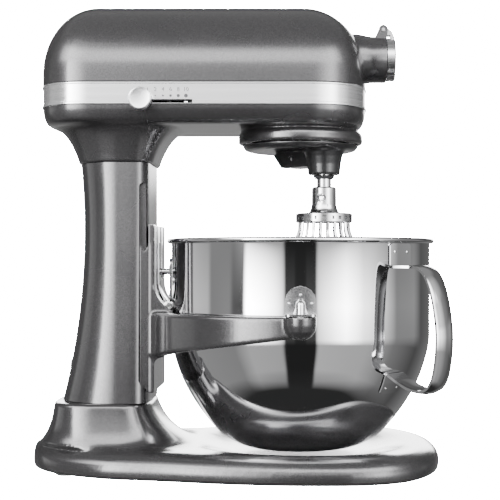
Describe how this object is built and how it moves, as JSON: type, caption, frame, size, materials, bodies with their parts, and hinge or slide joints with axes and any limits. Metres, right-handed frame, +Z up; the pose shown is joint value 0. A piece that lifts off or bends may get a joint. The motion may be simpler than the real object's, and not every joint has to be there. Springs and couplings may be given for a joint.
{
  "type": "stand mixer",
  "caption": "Bowl-lift stand mixer: motor head on a column over a steel bowl, with a planetary whisk drive, bowl-lift lever and front attachment hub.",
  "frame": {"origin": "centre of the bounding box's footprint, on the surface the feet stand on", "axes": "+Z up, +X towards the attachment hub at the front of the head, -Y towards the speed control's side"},
  "size_m": [0.3713, 0.287, 0.4186],
  "materials": {
    "paint": "glossy metallic paint, dark warm grey with a fine flake",
    "dark_paint": "satin dark grey paint",
    "polished": "polished stainless steel",
    "satin": "satin",
    "steel": "machined steel",
    "cast": "as cast",
    "brass": "machined bronze",
    "copper": "wound copper",
    "rubber": "matte",
    "black_plastic": "moulded",
    "board": "circuit board"
  },
  "bodies": {
    "root": {"base_casting": "paint", "base_bottom_cover": "black_plastic", "foot_front_left": "rubber", "foot_front_right": "rubber", "foot_rear_left": "rubber", "foot_rear_right": "rubber", "column_casting": "paint", "cord_gland": "rubber", "head_cover": "paint", "gearcase_housing": "paint", "trim_band": "satin", "ring_gear": "steel", "centre_shaft_bearing": "steel", "motor_stator": "steel", "motor_front_bearing": "steel", "motor_front_bracket": "cast", "motor_rear_bracket": "cast", "gear_plate": "cast", "control_board": "board", "hub_bearing": "brass", "lift_shaft_bush": "brass"},
    "planetary": {"planetary_housing": "dark_paint", "planetary_retaining_pin": "steel", "centre_shaft": "steel", "centre_drive_gear": "steel", "centre_bevel_gear": "steel", "beater_shaft_bush": "brass", "shaft_drip_washer": "black_plastic"},
    "beater": {"planet_pinion": "steel", "beater_shaft": "polished", "beater_shaft_pin": "steel", "whisk_hub": "satin", "whisk_wires": "polished"},
    "reduction": {"reduction_pinion_shaft": "steel", "worm_wheel": "brass"},
    "rotor": {"motor_shaft": "steel", "motor_armature": "copper", "motor_fan": "black_plastic"},
    "hub_drive": {"hub_bevel_gear": "steel", "hub_drive_shaft": "steel"},
    "hub_cap": {"hub_cap": "polished", "hub_cap_hinge_pin": "steel"},
    "hub_screw": {"attachment_knob": "black_plastic"},
    "speed_control": {"speed_knob": "polished", "speed_lever": "steel"},
    "support": {"bowl_support": "paint", "locating_pin_left": "steel", "locating_pin_right": "steel", "bowl_spring_latch": "polished"},
    "bowl": {"bowl_shell": "polished", "bowl_handle": "polished", "pin_bracket_left": "polished", "pin_bracket_right": "polished", "rear_bracket": "polished"},
    "lever": {"lift_crank": "steel", "lift_roller": "brass", "lift_shaft": "steel", "lift_lever": "polished", "lift_lever_knob": "black_plastic"}
  },
  "joints": [
    {"name": "bowl_lift", "type": "slide", "parent": "root", "child": "support", "axis": [0, 0, 1], "range_m": [0, 0.04]},
    {"name": "bowl_off", "type": "slide", "parent": "support", "child": "bowl", "axis": [0, 0, -1], "range_m": [-0.016, 0]},
    {"name": "lift_lever_turn", "type": "hinge", "parent": "root", "child": "lever", "pos_m": [-0.105, 0, 0.14], "axis": [0, 1, 0], "range_deg": [0, 150.1]},
    {"name": "planetary_spin", "type": "hinge", "parent": "root", "child": "planetary", "pos_m": [0.058, 0, 0.29], "axis": [0, 0, 1], "continuous": true},
    {"name": "beater_spin", "type": "hinge", "parent": "planetary", "child": "beater", "pos_m": [0.07921, -0.02121, 0.28], "axis": [0, 0, 1], "continuous": true},
    {"name": "reduction_spin", "type": "hinge", "parent": "root", "child": "reduction", "pos_m": [0.02, 0.024, 0.34], "axis": [0, 0, 1], "continuous": true},
    {"name": "motor_spin", "type": "hinge", "parent": "root", "child": "rotor", "pos_m": [-0.1, 0, 0.354], "axis": [1, 0, 0], "continuous": true},
    {"name": "hub_drive_spin", "type": "hinge", "parent": "root", "child": "hub_drive", "pos_m": [0.1, 0, 0.3724], "axis": [1, 0, 0], "continuous": true},
    {"name": "hub_cap_open", "type": "hinge", "parent": "root", "child": "hub_cap", "pos_m": [0.1335, 0, 0.399], "axis": [0, -1, 0], "range_deg": [0, 105]},
    {"name": "hub_screw_turn", "type": "hinge", "parent": "root", "child": "hub_screw", "pos_m": [0.126, 0.03, 0.3724], "axis": [0, 1, 0], "continuous": true},
    {"name": "speed_slide", "type": "slide", "parent": "root", "child": "speed_control", "axis": [1, 0, 0], "range_m": [0, 0.039]}
  ],
  "couplings": [
    {"joint": "lift_lever_turn", "follows": "bowl_lift", "rad_per_m": 65.45},
    {"joint": "beater_spin", "follows": "planetary_spin", "ratio": -2.875},
    {"joint": "reduction_spin", "follows": "planetary_spin", "ratio": -3.0909},
    {"joint": "motor_spin", "follows": "planetary_spin", "ratio": 52.545},
    {"joint": "hub_drive_spin", "follows": "planetary_spin", "ratio": 1}
  ]
}
